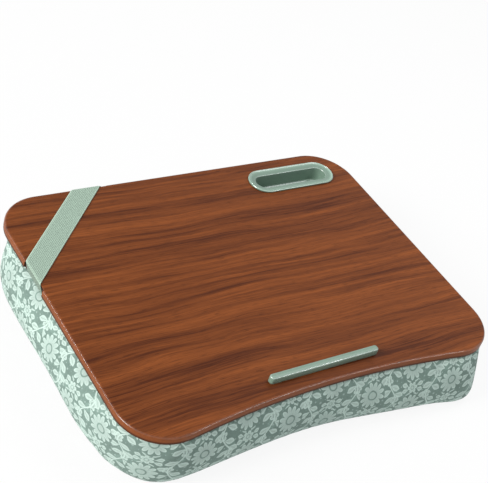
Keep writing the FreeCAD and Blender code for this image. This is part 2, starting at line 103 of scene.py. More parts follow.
class TraySizes(bpy.types.PropertyGroup):
    """Sizes of the pieces that are made here."""

    back_corner: length("Back corner", "Radius of the board's back corners", 0.047)
    front_corner: length("Front corner", "Radius of the board's front corners", 0.047)
    front_dip: length("Front dip", "How far the front edge dips in at the middle", 0.013)
    dip_share: FloatProperty(name="Dip share", description="Share of the front edge's curves that the dip takes",
                             default=0.93, min=0.0, max=1.0, subtype="FACTOR")
    bulge: length("Bulge", "How far the cushion swells past the board", 0.0100)
    belly: length("Belly", "Height of the cushion's fullest level", 0.024)
    neck: length("Neck", "How far under the board's edge the cover draws in", 0.003)
    base_inset: length("Base inset", "How far the flat base lies inside the board's edge", 0.009)
    twist: angle("Twist", "How far the cushion's base is turned against the board", -1.4)
    # Lumps of filling push the cover out, and below 0 it lies slack there
    front_left_lump: length("Front left lump", "Lump at the front left corner", -0.0140)
    front_right_lump: length("Front right lump", "Sag at the right of the front", 0.0042)
    right_corner_lump: length("Right corner lump", "Sag at the front right corner", 0.0105)
    front_lump: length("Front lump", "Lump at the middle of the front", -0.0016)
    left_lump: length("Left lump", "Lump at the left side", -0.0033)
    back_left_lump: length("Back left lump", "Lump at the back left corner", -0.026)
    right_lump: length("Right lump", "Lump at the right side near the front", -0.020)
    seam: length("Seam", "Height of the seam between side band and base", 0.005)
    hem: length("Hem", "Width of the hem under the board", 0.018)
    fabric: length("Fabric", "Thickness of the cover", 0.0012)
    settle: length("Settle", "The most that the simulated cloth may move", 0.006)
    ledge_end: length("Ledge ends", "Radius of the ledge's upright edges", 0.003)
    ledge_edge: length("Ledge edge", "Radius of the ledge's top edge", 0.0017)
    flange: length("Slot flange", "Width of the flange round the phone slot", 0.009)
    slot_wall: length("Slot wall", "Wall of the phone slot's cup", 0.0016)
    strap_width: length("Strap width", "Width of the elastic", 0.0240)
    strap_thickness: length("Strap thickness", "Thickness of the elastic", 0.0015)
    strap_corner: length("Strap place", "Distance of the strap from the corner, along both edges", 0.107)
    strap_tail: length("Strap tail", "Length of each tail under the board", 0.046)
    notch: length("Notch", "Depth of the notch that takes the strap", 0.0019)
    wire: length("Staple wire", "Room for the staple's wire under the tails", 0.0007)
    strap_ribs: IntProperty(name="Strap ribs", description="Ribs along the elastic", default=15, min=3, max=40)


class TrayColours(bpy.types.PropertyGroup):
    """Colours of the finishes."""

    walnut_dark: colour("Walnut dark", "Dark streaks of the film", (0.073, 0.0155, 0.003))
    walnut_light: colour("Walnut light", "Light streaks of the film", (0.263, 0.072, 0.0165))
    # Lighter tone of the upright edge: a painted highlight
    walnut_edge_highlight: colour("Walnut edge", "Film on the upright edge", (0.240, 0.068, 0.018))
    # Dark tone at the foot of the upright edge: painted shade where the board meets the cushion
    walnut_foot_shade: colour("Walnut foot", "Film at the foot of the upright edge", (0.045, 0.012, 0.004))
    print_ground: colour("Print ground", "Ground of the printed fabric", (0.166, 0.242, 0.210))
    print_motif: colour("Print motif", "Flowers and buds of the printed fabric", (0.506, 0.634, 0.578))
    plastic: colour("Plastic", "Moulded ledge and slot", (0.206, 0.306, 0.240))
    elastic: colour("Elastic", "Ribbed strap", (0.360, 0.485, 0.390))
    lining: colour("Lining", "Plain lining", (0.075, 0.105, 0.09))
    fibre: colour("Fibreboard", "Raw fibreboard", (0.29, 0.17, 0.085))
    steel: colour("Steel", "Screws and staples", (0.55, 0.56, 0.57))


class TrayStage(bpy.types.PropertyGroup):
    """Camera and floor."""

    eye: FloatVectorProperty(name="Eye", description="Place of the camera", size=3, unit="LENGTH",
                             subtype="TRANSLATION", default=(-0.6200, -0.6219, 0.7911))
    azimuth: angle("Azimuth", "Turn of the camera about the part", -43.725)
    elevation: angle("Elevation", "Height of the camera above the floor", 38.014)
    roll: angle("Roll", "Turn of the camera about its own axis", 19.292)
    lens: FloatProperty(name="Lens", description="Focal length in millimetres", default=82.290, unit="CAMERA")
    floor: colour("Floor", "Colour of the floor", (0.90, 0.90, 0.90))


# Short hands for shader nodes

class Field:
    """A value over a surface. Arithmetic on it adds Math nodes to its tree."""

    def __init__(self, tree, socket):
        self.tree = tree
        self.socket = socket

    def run(self, operation, *others, clamp=False):
        node = self.tree.nodes.new("ShaderNodeMath")
        node.operation = operation
        node.use_clamp = clamp
        for place, value in zip(node.inputs, (self, *others)):
            feed(self.tree, place, value)
        return Field(self.tree, node.outputs[0])

    def __add__(self, other):
        return self.run("ADD", other)

    def __sub__(self, other):
        return self.run("SUBTRACT", other)

    def __mul__(self, other):
        return self.run("MULTIPLY", other)

    def __truediv__(self, other):
        return self.run("DIVIDE", other)

    def __abs__(self):
        return self.run("ABSOLUTE")

    def flip(self):
        """One less the value."""
        return (self * -1.0) + 1.0

    def under(self, edge, soft):
        """A mask of 1 where the value is under an edge, with a soft border."""
        return ((self * -1.0) + edge).run("MULTIPLY_ADD", 1.0 / soft, 0.5, clamp=True)


def highest(fields):
    """The highest of several values at each place."""
    return reduce(lambda one, other: one.run("MAXIMUM", other), fields)


def feed(tree, place, value):
    """Link a field or a socket to an input, or set the input's number."""
    if isinstance(value, Field):
        value = value.socket
    if isinstance(value, bpy.types.NodeSocket):
        tree.links.new(value, place)
    else:
        place.default_value = value


def put_node(tree, kind, values=None, **settings):
    node = tree.nodes.new(kind)
    for name, value in settings.items():
        setattr(node, name, value)
    for name, value in (values or {}).items():
        feed(tree, node.inputs[name], value)
    return node


def vector(tree, x, y, z=0.0):
    return put_node(tree, "ShaderNodeCombineXYZ", {"X": x, "Y": y, "Z": z}).outputs[0]


def axes(tree, socket):
    """The three numbers of a vector."""
    node = put_node(tree, "ShaderNodeSeparateXYZ", {"Vector": socket})
    return [Field(tree, out) for out in node.outputs]


def stretched(tree, socket, scale):
    node = put_node(tree, "ShaderNodeVectorMath", operation="MULTIPLY")
    feed(tree, node.inputs[0], socket)
    node.inputs[1].default_value = scale
    return node.outputs[0]


def noise(tree, socket, scale, detail=2.0, rough=0.5):
    node = put_node(tree, "ShaderNodeTexNoise", {
        "Vector": socket, "Scale": scale, "Detail": detail, "Roughness": rough})
    return Field(tree, node.outputs["Fac"])


def streaks(tree, socket, scale, detail=2.0, rough=0.5):
    """Noise drawn out by a scale of its own along each axis."""
    return noise(tree, stretched(tree, socket, scale), 1.0, detail, rough)


def mixed(tree, mask, first, second, way="MIX"):
    """Two colours mixed by a mask."""
    node = put_node(tree, "ShaderNodeMix", data_type="RGBA", blend_type=way)
    feed(tree, node.inputs[0], mask)
    for place, value in ((6, first), (7, second)):
        feed(tree, node.inputs[place], (*value, 1.0) if isinstance(value, tuple) else value)
    return node.outputs[2]


def scaled(base, by):
    """A colour made darker or lighter."""
    return tuple(min(1.0, part * by) for part in base)


def toned(tree, mask, base, dark, light):
    """A colour between a darker and a lighter tone of itself."""
    return mixed(tree, mask, scaled(base, dark), scaled(base, light))


def shaded(tree, base, shade):
    """A colour times a grey shade."""
    grey = put_node(tree, "ShaderNodeCombineColor", {"Red": shade, "Green": shade, "Blue": shade})
    return mixed(tree, 1.0, base, grey.outputs[0], "MULTIPLY")


def facing_up(tree):
    """How far the surface faces up."""
    return axes(tree, put_node(tree, "ShaderNodeNewGeometry").outputs["Normal"])[2]


def seen_rays(tree):
    """A mask of 1 for what the camera, a reflection or glass sees, and 0 for the light that falls on things."""
    path = put_node(tree, "ShaderNodeLightPath")
    seen = Field(tree, path.outputs["Is Camera Ray"]) + Field(tree, path.outputs["Is Glossy Ray"])
    return (seen + Field(tree, path.outputs["Is Transmission Ray"])).run("MINIMUM", 1.0)


def surface(tree, shader, tone, roughness, height, strength, depth):
    """Give a shader its colour, its roughness and its relief."""
    relief = put_node(tree, "ShaderNodeBump", {"Height": height, "Strength": strength, "Distance": depth})
    feed(tree, shader.inputs["Base Color"], tone)
    feed(tree, shader.inputs["Roughness"], roughness)
    feed(tree, shader.inputs["Normal"], relief.outputs[0])


def new_group(name, numbers, outputs):
    """An empty shader group that takes a vector and numbers and puts out values.

    It gives its tree, its input sockets by name and its output node.
    """
    tree = bpy.data.node_groups.new(name, "ShaderNodeTree")
    tree.interface.new_socket(name="Vector", in_out="INPUT", socket_type="NodeSocketVector")
    for label, default in numbers.items():
        socket = tree.interface.new_socket(name=label, in_out="INPUT", socket_type="NodeSocketFloat")
        socket.default_value = default
    for label in outputs:
        tree.interface.new_socket(name=label, in_out="OUTPUT", socket_type="NodeSocketFloat")
    return tree, tree.nodes.new("NodeGroupInput").outputs, tree.nodes.new("NodeGroupOutput")


def place_group(tree, name, **values):
    node = tree.nodes.new("ShaderNodeGroup")
    node.node_tree = bpy.data.node_groups[name]
    for label, value in values.items():
        feed(tree, node.inputs[label.replace("_", " ").capitalize()], value)
    return {out.name: Field(tree, out) for out in node.outputs}


def new_material(name, **constants):
    """A material with one Principled shader and its plain numbers set."""
    material = bpy.data.materials.new(name)
    material.use_nodes = True
    tree = material.node_tree
    shader = tree.nodes["Principled BSDF"]
    for label, value in constants.items():
        shader.inputs[label.replace("_", " ").title().replace("Ior", "IOR")].default_value = value
    return material, tree, shader


def object_place(tree):
    return put_node(tree, "ShaderNodeTexCoord").outputs["Object"]


def cloth_place(tree):
    return put_node(tree, "ShaderNodeUVMap", uv_map=PRINT_MAP).outputs["UV"]


def dress(names, material):
    """Give CAD nodes a finish."""
    for name in names:
        node = NODES[name]
        if not node.material_slots:
            node.data.materials.append(material)
        for slot in node.material_slots:
            slot.material = material


# Shader groups that several finishes share

def make_speckle_group():
    """Small uneven patches of tone and a fine grain of height."""
    tree, given, end = new_group("surface_speckle", {"Patch": 40.0, "Grain": 900.0}, ("Tone", "Height"))
    patch = noise(tree, given["Vector"], given["Patch"], 3.0)
    grain = noise(tree, given["Vector"], given["Grain"], 2.0, 0.6)
    feed(tree, end.inputs["Tone"], patch * 0.6 + grain * 0.4)
    feed(tree, end.inputs["Height"], grain)


def make_weave_group():
    """Plain weave: threads over and under each other, with slubs."""
    tree, given, end = new_group("thread_weave", {"Threads": 1600.0}, ("Height", "Slub"))
    across, along, _ = axes(tree, given["Vector"])
    turns = Field(tree, given["Threads"]) * math.pi
    warp = (across * turns).run("SINE")
    weft = (along * turns).run("SINE")
    feed(tree, end.inputs["Height"], (warp * weft) * 0.5 + 0.5)
    lengthwise = streaks(tree, given["Vector"], (900.0, 60.0, 1.0))
    crosswise = streaks(tree, given["Vector"], (60.0, 900.0, 1.0))
    feed(tree, end.inputs["Slub"], (lengthwise + crosswise) * 0.5)


def half_drop(tree, across, along, width, height):
    """Coordinates about the middle of each cell of a half-drop repeat, its own chance number and the row."""
    columns = across / width
    column = columns.run("FLOOR")
    drop = column.run("MODULO", 2.0).run("ABSOLUTE") * 0.5
    rows = along / height + drop
    x = (columns.run("FRACT") - 0.5) * width
    y = (rows.run("FRACT") - 0.5) * height
    chance = put_node(tree, "ShaderNodeTexWhiteNoise", {
        "Vector": vector(tree, column, rows.run("FLOOR"), 3.0)}, noise_dimensions="3D")
    return x, y, Field(tree, chance.outputs["Value"]), rows


def rosette(x, y, spin, petals, radius, edge):
    """A daisy: outlined petals with ribs round a ringed heart."""
    reach = (x * x + y * y).run("SQRT")
    turn = y.run("ARCTAN2", x) + spin
    wave = abs((turn * (petals / 2)).run("COSINE"))
    border = wave.run("POWER", 0.55) * (radius * 0.5) + radius * 0.5
    petal = (reach - border).under(0.0, edge)
    petal = petal * ((reach - border).under(-PETAL_LINE, edge) * INSIDE_DARKER).flip()
    rib = (abs((turn * (petals / 2)).run("SINE")) * reach).under(radius * 0.035, edge)
    outside_heart = reach.under(radius * 0.42, edge).flip()
    rib = rib * outside_heart * reach.under(radius * 0.8, edge)
    ring = abs(reach - radius * 0.33).under(radius * 0.055, edge)
    return petal * ring.flip() * (rib * 0.55).flip()


def bud(x, y, spin, size, width, edge):
    """A drop-shaped bud that starts at the point given and lies along a direction."""
    along = x * math.cos(spin) + y * math.sin(spin)
    across = y * math.cos(spin) - x * math.sin(spin)
    part = (along / size).run("MAXIMUM", 0.0).run("MINIMUM", 1.0)
    swell = (part.run("POWER", 1.5) * math.pi).run("SINE") * width
    inside = (abs(across) - swell).under(0.0, edge) * abs(along - size / 2).under(size / 2, edge)
    inside = inside * ((abs(across) - swell).under(-BUD_LINE, edge) * INSIDE_DARKER).flip()
    vein = abs(across).under(width * 0.09, edge) * (along - size * 0.8).under(0.0, edge)
    return inside * (vein * 0.5).flip()


def make_print_group():
    """Daisies in a half-drop repeat, with sprigs between them, wavy trails of buds and blossoms, and dots."""
    tree, given, end = new_group("daisy_trail_print", {}, ("Motif", "Shade", "Under"))
    width, height, edge, swing, sway = 0.050, 0.043, 0.0007, 0.0055, 0.004
    daisy_radius, daisy_room, sprig_radius, blossom_radius = 0.0138, 0.0147, 0.0060, 0.0054
    under_size, under_width = 0.019, 0.0044
    leaf_foot, leaf_size, leaf_width = 0.0050, 0.0085, 0.0024
    trail_width, bud_width, bud_size, short_bud = 0.0008, 0.0031, 0.0135, 0.0130
    dot_width, dot_height, dot_radius = 0.0056, 0.0049, 0.0013
    across, along, _ = axes(tree, given["Vector"])
    sway_x = noise(tree, given["Vector"], 55.0, 1.0) - 0.5
    sway_y = noise(tree, stretched(tree, given["Vector"], (1.0, -1.0, 1.0)), 55.0, 1.0) - 0.5
    across = across + sway_x * sway
    along = along + sway_y * sway
    x, y, chance, _ = half_drop(tree, across, along, width, height)
    daisy = rosette(x, y, chance * FULL_TURN, 12, daisy_radius, edge)
    middle = (x * x + y * y).run("SQRT")
    clear = middle.under(daisy_room, 0.0008).flip()
    under_x, under_y, _, _ = half_drop(tree, across + width * 0.25, along + height * 0.25, width, height)
    under = highest(bud(under_x, under_y, lean, under_size, under_width, 2 * edge) for lean in (0.9, 2.5, 4.0, 5.5))
    sprig_x, sprig_y, sprig_chance, _ = half_drop(tree, across, along + height / 2, width, height)
    marks = [rosette(sprig_x, sprig_y, sprig_chance * FULL_TURN, 6, sprig_radius, edge)]
    for lean in (0.30, 1.05, 2.09, 2.84, 3.44, 4.19, 5.23, 5.98):
        marks.append(bud(sprig_x - leaf_foot * math.cos(lean), sprig_y - leaf_foot * math.sin(lean), lean,
                         leaf_size, leaf_width, edge))
    trail_x, _, luck, rows = half_drop(tree, across + width / 2, along, width, height)

    def trail_y(foot):
        return ((rows - foot).run("FRACT") - 0.5) * height

    wander = (rows * FULL_TURN).run("SINE") * swing
    marks.append(abs(trail_x - wander).under(trail_width, edge))
    for foot, lean, size in ((0.04, 0.45, bud_size), (0.14, 2.55, bud_size), (0.36, 0.35, bud_size),
                             (0.46, 2.75, short_bud), (0.56, 0.40, short_bud), (0.64, 2.70, bud_size),
                             (0.86, 0.55, bud_size), (0.96, 2.80, bud_size)):
        foot_x = math.sin((foot + 0.5) * FULL_TURN) * swing
        marks.append(bud(trail_x - foot_x, trail_y(foot), lean, size, bud_width, edge))
    for foot, side in ((0.25, -1), (0.75, 1)):
        marks.append(rosette(trail_x - side * swing, trail_y(foot), luck * FULL_TURN, 5, blossom_radius, edge))
    dot_x, dot_y, dot_luck, _ = half_drop(tree, across + 0.004, along + 0.0035, dot_width, dot_height)
    dot = (dot_x * dot_x + dot_y * dot_y).run("SQRT").under(dot_luck * dot_radius, edge)
    feed(tree, end.inputs["Motif"], highest([daisy, highest(marks) * clear, dot * clear * 0.45]))
    petal_shade = (middle / daisy_radius).run("MINIMUM", 1.0) * 0.7
    feed(tree, end.inputs["Shade"], petal_shade + luck * 0.3)
    feed(tree, end.inputs["Under"], under)


# Finishes

def walnut_finish(colours):
    """Wood-look film: streaks and pores along the width, a painted highlight on its upright edge, painted shade at
    the foot of that edge, and glossy where it turns.
    """
    material, tree, shader = new_material("walnut_film", coat_roughness=0.22, IOR=1.48, specular_ior_level=0.12)
    wander, waver, foot, foot_soft = 0.030, 0.005, 0.0022, 0.0016
    at = object_place(tree)
    x, y, z = axes(tree, at)
    sway = streaks(tree, at, (3.2, 9.0, 9.0)) - 0.5
    ripple = streaks(tree, at, (14.0, 40.0, 40.0)) - 0.5
    flow = vector(tree, x, y + sway * wander + ripple * waver, z)
    broad = streaks(tree, flow, (1.6, 46.0, 46.0), 3.0, 0.55)
    streak = streaks(tree, flow, (5.0, 190.0, 190.0), 4.0, 0.6)
    fine = streaks(tree, flow, (16.0, 900.0, 900.0), 3.0, 0.6)
    pore = streaks(tree, flow, (70.0, 1500.0, 1500.0), 1.0)
    tone = broad * 0.85 + streak * 1.05 + fine * 0.75
    tone = (tone - 1.325).run("MULTIPLY_ADD", 1.75, 0.5, clamp=True)
    wood = mixed(tree, tone, tuple(colours.walnut_dark), tuple(colours.walnut_light))
    pores = pore.under(0.36, 0.10) * 0.5
    wood = mixed(tree, pores, wood, scaled(colours.walnut_dark, 0.45))
    up = facing_up(tree)
    # Painted highlight: where the edge faces sideways, the film is mixed towards a lighter tone
    wood = mixed(tree, up.under(0.55, 0.4) * 0.7, wood, tuple(colours.walnut_edge_highlight))
    # Painted shade: the film darkens towards the foot of the upright edge, next to the cushion
    wood = mixed(tree, z.under(BOARD_LOW.z + foot, foot_soft) * 0.8, wood, tuple(colours.walnut_foot_shade))
    feed(tree, shader.inputs["Coat Weight"], abs(up - 0.65).under(0.25, 0.2) * 0.9)
    surface(tree, shader, wood, streak * 0.14 + pores * 0.12 + 0.33, fine * 0.6 + pores * -0.5, 0.10, 0.0004)
    return material


def plastic_finish(colours, name, rim=None):
    """Satin moulded plastic; above the height of a rim it is paler by a painted highlight, and darker under it by
    painted shade.
    """
    material, tree, shader = new_material(name, IOR=1.49, coat_roughness=0.20, coat_ior=2.6)
    at = object_place(tree)
    feed(tree, shader.inputs["Coat Weight"], abs(facing_up(tree) - 0.68).under(0.20, 0.12))
    speckle = place_group(tree, "surface_speckle", vector=at, patch=30.0, grain=2400.0)
    moulded = toned(tree, speckle["Tone"], colours.plastic, 0.86, 1.12)
    if rim is not None:
        # Painted highlight: paler above the rim's height; painted shade: darker on the dish and cup under it
        under_rim = axes(tree, at)[2].under(rim, 0.0005)
        moulded = mixed(tree, under_rim, scaled(colours.plastic, 1.3), moulded)
        moulded = mixed(tree, under_rim * 0.5, moulded, scaled(colours.plastic, 0.78))
    surface(tree, shader, moulded, speckle["Tone"] * 0.12 + 0.30, speckle["Height"], 0.03, 0.0002)
    return material


def print_finish(colours):
    """Printed woven fabric."""
    material, tree, shader = new_material("daisy_print", sheen_weight=0.12, sheen_roughness=0.45, IOR=1.4,
                                          specular_ior_level=0.25)
    at = cloth_place(tree)
    drawn = place_group(tree, "daisy_trail_print", vector=at)
    weave = place_group(tree, "thread_weave", vector=at, threads=1700.0)
    cloud = noise(tree, at, 38.0, 3.0, 0.6)
    stipple = noise(tree, at, 620.0, 2.0, 0.7)
    ground_tone = (cloud * 0.9 + stipple * 0.9 - 0.4).run("MULTIPLY_ADD", 1.0, 0.0, clamp=True)
    dark = toned(tree, ground_tone, colours.print_ground, 0.72, 1.34)
    dark = mixed(tree, drawn["Under"] * 0.45, dark, scaled(colours.print_ground, 1.6))
    motif_tone = (stipple * 0.6 + drawn["Shade"] * 0.7 - 0.15).run("MULTIPLY_ADD", 1.0, 0.0, clamp=True)
    pale = toned(tree, motif_tone, colours.print_motif, 0.76, 1.14)
    printed = shaded(tree, mixed(tree, drawn["Motif"], dark, pale), weave["Slub"] * 0.35 + 0.82)
    threads = weave["Height"] * 0.5 + weave["Slub"] * 0.9
    surface(tree, shader, printed, weave["Slub"] * 0.15 + 0.72, threads, 0.25, 0.0004)
    return material


def elastic_finish(colours, sizes, run):
    """Ribbed woven elastic with lighter edges, and painted shade where it is folded down over the board's edges and
    runs under the board.
    """
    material, tree, shader = new_material("ribbed_elastic", sheen_weight=0.3, sheen_roughness=0.4,
                                          specular_ior_level=0.3)
    at = cloth_place(tree)
    along, across, _ = axes(tree, at)
    weave = place_group(tree, "thread_weave", vector=at, threads=1400.0)
    rib = abs((across * (math.pi * sizes.strap_ribs / sizes.strap_width)).run("COSINE"))
    selvedge, stitch_pitch, fold = 0.0013, 0.0011, 0.0006
    edge = abs(across).under(sizes.strap_width / 2 - selvedge, 0.0008).flip()
    ribbed = toned(tree, rib, colours.elastic, 0.74, 1.12)
    ribbed = mixed(tree, edge * 0.7, ribbed, scaled(colours.elastic, 1.45))
    # Painted shade on the parts folded down over the edges and on the tails under the board
    left_fold_shade = (along - across).under(-fold, fold)
    back_fold_shade = (along + across).under(run + fold, fold).flip()
    ribbed = mixed(tree, left_fold_shade.run("MAXIMUM", back_fold_shade) * 0.85, ribbed, scaled(colours.elastic, 0.44))
    stitch = (along * (math.pi / stitch_pitch)).run("SINE") * 0.10 + 0.95
    surface(tree, shader, shaded(tree, ribbed, stitch), weave["Slub"] * 0.2 + 0.58,
            weave["Height"] + stitch, 0.3, 0.0003)
    return material


def lining_finish(colours):
    """Plain woven lining."""
    material, tree, shader = new_material("plain_lining", specular_ior_level=0.25)
    weave = place_group(tree, "thread_weave", vector=object_place(tree), threads=1500.0)
    plain = toned(tree, weave["Slub"], colours.lining, 0.8, 1.3)
    surface(tree, shader, plain, weave["Slub"] * 0.15 + 0.75, weave["Height"], 0.3, 0.0004)
    return material


def fibre_finish(colours):
    """Raw fibreboard, darker in the notch walls that take the strap."""
    material, tree, shader = new_material("raw_fibreboard", specular_ior_level=0.3)
    at = object_place(tree)
    x, y, _ = axes(tree, at)
    speckle = place_group(tree, "surface_speckle", vector=at, patch=60.0, grain=1500.0)
    fibres = toned(tree, speckle["Tone"], colours.fibre, 0.7, 1.3)
    reach, soft = 0.003, 0.0006
    # The notch walls take the same dark colour as the film's foot
    notch = x.under(BOARD_LOW.x + reach, soft).run("MAXIMUM", y.under(BOARD_HIGH.y - reach, soft).flip())
    notch_darkened = mixed(tree, notch, fibres, tuple(colours.walnut_foot_shade))
    surface(tree, shader, notch_darkened, speckle["Tone"] * 0.2 + 0.7, speckle["Height"], 0.35, 0.0004)
    return material


def steel_finish(colours):
    """Zinc plated wire and screws."""
    material, tree, shader = new_material("plated_steel", metallic=1.0)
    speckle = place_group(tree, "surface_speckle", vector=object_place(tree), patch=250.0, grain=3000.0)
    plated = toned(tree, speckle["Tone"], colours.steel, 0.8, 1.15)
    surface(tree, shader, plated, speckle["Tone"] * 0.25 + 0.25, speckle["Height"], 0.1, 0.0001)
    return material


# Shapes

def arc_run(x, y, radius, start, end, inward=False, count=48):
    """Points and outward directions along an arc; inward is true where the arc's middle lies outside the board."""
    turns = np.linspace(start, end, count)
    rays = np.stack([np.cos(turns), np.sin(turns)], axis=1)
    return np.array([x, y]) + radius * rays, -rays if inward else rays


def board_outline(sizes, count):
    """Evenly spaced points on the board's outline, their outward directions and their distance along it.

    It starts at the middle of the back edge and runs past the left side and the front.
    """
    half_x, half_y = BOARD_HIGH.x, BOARD_HIGH.y
    back_x, back_y = half_x - sizes.back_corner, half_y - sizes.back_corner
    low_x, low_y = half_x - sizes.front_corner, sizes.front_corner - half_y
    arcs = (low_x ** 2 + sizes.front_dip ** 2) / (2 * sizes.front_dip)
    dip = arcs * sizes.dip_share
    shoulder = arcs - dip
    turn = math.atan2(arcs - sizes.front_dip, low_x)
    back_middle = (np.array([[0.0, half_y]]), np.array([[0.0, 1.0]]))
    runs = [
        back_middle,
        arc_run(-back_x, back_y, sizes.back_corner, QUARTER, 2 * QUARTER),
        arc_run(-low_x, low_y, sizes.front_corner, 2 * QUARTER, 3 * QUARTER),
        arc_run(-low_x, shoulder - half_y, shoulder, 3 * QUARTER, 4 * QUARTER - turn),
        arc_run(0.0, sizes.front_dip - half_y - dip, dip, 2 * QUARTER - turn, turn, inward=True),
        arc_run(low_x, shoulder - half_y, shoulder, 2 * QUARTER + turn, 3 * QUARTER),
        arc_run(low_x, low_y, sizes.front_corner, 3 * QUARTER, 4 * QUARTER),
        arc_run(back_x, back_y, sizes.back_corner, 0.0, QUARTER),
        back_middle,
    ]
    points, outward = (np.concatenate(part) for part in zip(*runs))
    steps = np.hypot(*np.diff(points, axis=0).T)
    along = np.concatenate([[0.0], np.cumsum(steps)])
    places = np.arange(count) * along[-1] / count
    even, facing = (np.stack([np.interp(places, along, column) for column in values.T], axis=1)
                    for values in (points, outward))
    facing /= np.linalg.norm(facing, axis=1)[:, None]
    return SimpleNamespace(points=even, facing=facing, places=places, total=along[-1])


def seen_from_above(low, high):
    """The middle and the two half lengths of a box."""
    return np.array([low.x + high.x, low.y + high.y]) / 2, (high.x - low.x) / 2, (high.y - low.y) / 2


def round_slot(middle, reach, radius, steps):
    """The outline of a slot with round ends."""
    turns = np.linspace(-QUARTER, QUARTER, steps)
    right = np.column_stack([reach + radius * np.cos(turns), radius * np.sin(turns)])
    return np.concatenate([right, -right]) + middle


def at_level(points, level):
    """Flat points at a height."""
    return np.column_stack([points, np.full(len(points), level)])


def rounding(radius, start, count):
    """How far the points of a round edge lie in from its two sides, up to a quarter turn."""
    return [(radius * (1 - math.cos(t)), radius * (1 - math.sin(t))) for t in np.linspace(start, QUARTER, count)]


def add_object(name, data):
    """A new object in the scene."""
    thing = bpy.data.objects.new(name, data)
    bpy.context.scene.collection.objects.link(thing)
    return thing


def new_piece(name, vertices, faces, material, uv=None):
    """A mesh object in the scene, with a cloth map where corner coordinates are given."""
    mesh = bpy.data.meshes.new(name)
    mesh.from_pydata([tuple(v) for v in vertices], [], faces)
    if uv is not None:
        layer = mesh.uv_layers.new(name=PRINT_MAP)
        layer.data.foreach_set("uv", np.asarray(uv, np.float32).ravel())
    mesh.polygons.foreach_set("use_smooth", [True] * len(mesh.polygons))
    if material is not None:
        mesh.materials.append(material)
    mesh.update()
    return add_object(name, mesh)


def apply_modifiers(piece):
    """Keep the shape that the modifiers give, without them."""
    bpy.context.view_layer.update()
    shaped = piece.evaluated_get(bpy.context.evaluated_depsgraph_get())
    mesh = bpy.data.meshes.new_from_object(shaped)
    piece.modifiers.clear()
    old = piece.data
    piece.data = mesh
    mesh.name = piece.name
    bpy.data.meshes.remove(old)


def evened(grid, passes):
    """A grid with its values evened out along its closed rows."""
    for _ in range(passes):
        grid = (np.roll(grid, 1, axis=1) + 2 * grid + np.roll(grid, -1, axis=1)) / 4
    return grid


def settle_cloth(grid, held, most):
    """Let a closed band of cloth settle under pressure, and give back how far each point of its grid moves."""
    rows, count = grid.shape[:2]
    band = new_piece("settling_band", grid.reshape(-1, 3), band_faces(rows, count), None)
    group = band.vertex_groups.new(name="held")
    for weight in np.unique(held[held > 0]):
        rows_held = np.flatnonzero(held == weight)
        group.add([int(row * count + i) for row in rows_held for i in range(count)], float(weight), "REPLACE")
    cloth = band.modifiers.new("settle", "CLOTH")
    for name, value in CLOTH_RULES.items():
        setattr(cloth.settings, name, value)
    cloth.settings.effector_weights.gravity = 0
    cloth.collision_settings.use_collision = False
    scene = bpy.context.scene
    for step in range(1, CLOTH_STEPS + 1):
        scene.frame_set(step)
    shaped = band.evaluated_get(bpy.context.evaluated_depsgraph_get())
    end = np.empty(rows * count * 3, np.float32)
    shaped.data.vertices.foreach_get("co", end)
    scene.frame_set(1)
    mesh = band.data
    bpy.data.objects.remove(band)
    bpy.data.meshes.remove(mesh)
    moved = end.reshape(grid.shape) - grid
    if not np.isfinite(moved).all():
        raise RuntimeError("the cover's cloth did not settle")
    # The lower half is evened out more
    few_passes, many_passes = 2, 40
    moved = evened(moved, few_passes)
    low = np.clip(1.5 - grid[:, :, 2:] / grid[:, :, 2].max() * 3, 0.0, 1.0)
    moved = moved * (1 - low) + evened(moved, many_passes) * low
    size = np.linalg.norm(moved, axis=2, keepdims=True)
    return moved * np.minimum(1.0, most / np.maximum(size, 1e-9))


def band_faces(rows, count):
    """Faces of a closed band of rows, facing outwards where the rows run down and the columns run left to right."""
    faces = []
    for row in range(rows - 1):
        for i in range(count):
            j = (i + 1) % count
            faces.append((row * count + i, row * count + j, (row + 1) * count + j, (row + 1) * count + i)[::-1])
    return faces


def refined(grid):
    """A grid with twice the columns and a row between each two, smoothly in between."""
    ends = np.concatenate([grid[:1], grid, grid[-1:]])
    middle = (9 * (ends[1:-2] + ends[2:-1]) - ends[:-3] - ends[3:]) / 16
    tall = np.empty((2 * len(grid) - 1, *grid.shape[1:]))
    tall[0::2] = grid
    tall[1::2] = middle
    right = np.roll(tall, -1, axis=1)
    middle = (9 * (tall + right) - np.roll(tall, 1, axis=1) - np.roll(tall, -2, axis=1)) / 16
    fine = np.empty((len(tall), 2 * grid.shape[1], grid.shape[2]))
    fine[:, 0::2] = tall
    fine[:, 1::2] = middle
    return fine


def smooth_chance(chance, places, total, waves):
    """A smooth closed curve of chance ups and downs along the outline, between about -1 and 1."""
    curve = np.zeros_like(places)
    for wave in waves:
        curve += np.sin(places / total * FULL_TURN * wave + chance.uniform(0, FULL_TURN)) * chance.uniform(0.4, 1.0)
    return curve / len(waves) ** 0.5


